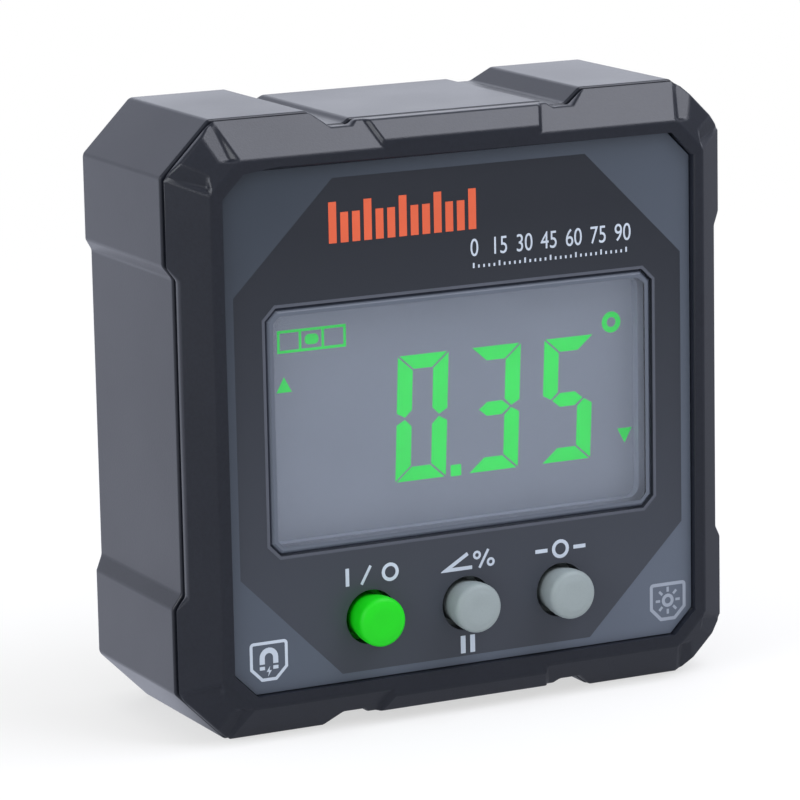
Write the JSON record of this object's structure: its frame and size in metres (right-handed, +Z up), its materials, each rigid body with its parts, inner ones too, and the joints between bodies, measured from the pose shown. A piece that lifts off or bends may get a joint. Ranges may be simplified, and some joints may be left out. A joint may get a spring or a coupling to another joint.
{
  "type": "digital inclinometer",
  "caption": "Square digital tilt gauge with a sunk segment display, round keys, a bevelled case on corner bumpers, a magnetic base and a sliding battery door.",
  "frame": {"origin": "middle of the base, half-way between the key faces and the back", "axes": "+X to the right as the face is read, -Y out of the face, +Z up"},
  "size_m": [0.06, 0.0272, 0.06],
  "materials": {
    "housing": "fine spark-eroded texture, charcoal",
    "panel": "printed film, two greys",
    "lens": "clear polished",
    "lcd_glass": "clear thin glass",
    "polariser": "smoked film",
    "light_guide": "frosted clear",
    "reflector": "white film",
    "lamp": "moulded chip lamp",
    "elastomer": "layered silicone",
    "holder": "moulded white",
    "board": "solder mask on glass-epoxy",
    "chip": "moulded epoxy",
    "can": "drawn can",
    "ceramic": "ceramic with tinned ends",
    "switch_body": "moulded with steel cover",
    "plunger": "moulded",
    "green_key": "silicone-look moulded key",
    "grey_key": "silicone-look moulded key",
    "cell": "plain sleeve with steel ends",
    "contact": "nickel-plated spring steel",
    "magnet": "nickel-plated magnet",
    "screw": "zinc-plated steel"
  },
  "bodies": {
    "case": {"front_shell": "housing", "rear_shell": "housing", "label_panel": "panel", "display_window": "lens", "front_polariser": "polariser", "front_lcd_glass": "lcd_glass", "rear_lcd_glass": "lcd_glass", "rear_polariser": "polariser", "light_guide": "light_guide", "reflector_sheet": "reflector", "backlight_leds": "lamp", "lcd_connector_strip": "elastomer", "lcd_frame": "holder", "main_board": "board", "tilt_sensor": "chip", "controller_chip": "chip", "timing_crystal": "can", "board_capacitors": "ceramic", "board_screws": "screw", "case_screws": "screw", "on_off_switch": "switch_body", "hold_switch": "switch_body", "zero_switch": "switch_body", "upper_battery": "cell", "lower_battery": "cell", "positive_contact": "contact", "negative_contact": "contact", "bridge_contact": "contact", "base_magnets": "magnet"},
    "on_off_key": {"on_off_button": "green_key", "on_off_plunger": "plunger"},
    "hold_key": {"hold_button": "grey_key", "hold_plunger": "plunger"},
    "zero_key": {"zero_button": "grey_key", "zero_plunger": "plunger"},
    "door": {"battery_door": "housing"}
  },
  "joints": [
    {"name": "on_off_press", "type": "slide", "parent": "case", "child": "on_off_key", "axis": [0, 1, 0], "range_m": [0, 0.0005], "stiffness_N_per_m": 1500, "springref_m": -0.0005},
    {"name": "hold_press", "type": "slide", "parent": "case", "child": "hold_key", "axis": [0, 1, 0], "range_m": [0, 0.0005], "stiffness_N_per_m": 1500, "springref_m": -0.0005},
    {"name": "zero_press", "type": "slide", "parent": "case", "child": "zero_key", "axis": [0, 1, 0], "range_m": [0, 0.0005], "stiffness_N_per_m": 1500, "springref_m": -0.0005},
    {"name": "door_slide", "type": "slide", "parent": "case", "child": "door", "axis": [1, 0, 0], "range_m": [0, 0.056]}
  ]
}
